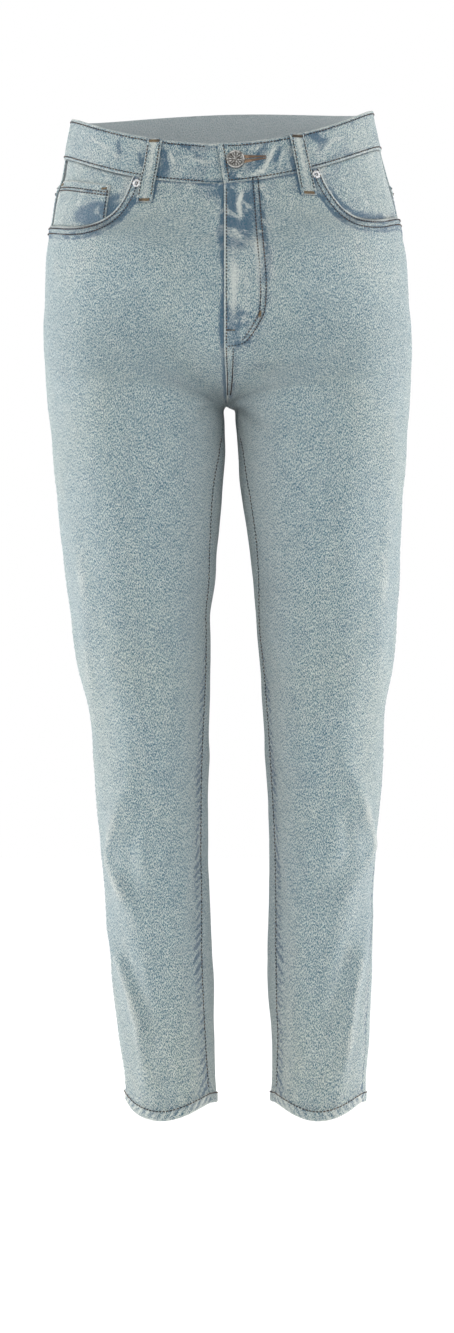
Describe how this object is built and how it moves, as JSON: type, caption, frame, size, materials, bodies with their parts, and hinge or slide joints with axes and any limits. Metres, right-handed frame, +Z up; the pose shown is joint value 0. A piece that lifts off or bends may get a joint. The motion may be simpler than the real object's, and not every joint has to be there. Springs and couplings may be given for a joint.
{
  "type": "straight jeans",
  "caption": "Straight-leg denim jeans with a buttoned waistband, fly, pockets and belt loops, filled out as worn and open at the waist and hems.",
  "frame": {"origin": "middle of the waistband ring, at the height of the waist, where the wearer holds the jeans up", "axes": "+Z up along the height, -Y towards the front with the fly, +X towards the wearer's left"},
  "size_m": [0.3502, 0.239, 0.9646],
  "materials": {
    "denim": "light-wash cotton denim, twill weave, worn pale at the edges",
    "metal": "aged silver-coloured metal"
  },
  "bodies": {
    "root": {"front_right": "denim", "front_left": "denim", "back_right": "denim", "back_left": "denim", "yoke_right": "denim", "yoke_left": "denim", "waistband": "denim", "pocket_facing_right": "denim", "pocket_facing_left": "denim", "coin_pocket": "denim", "back_pocket_right": "denim", "back_pocket_left": "denim", "fly_shield": "denim", "belt_loop_front_right": "denim", "belt_loop_front_left": "denim", "belt_loop_side_right": "denim", "belt_loop_side_left": "denim", "belt_loop_back": "denim", "button": "metal", "rivet_right": "metal", "rivet_left": "metal"}
  },
  "joints": []
}
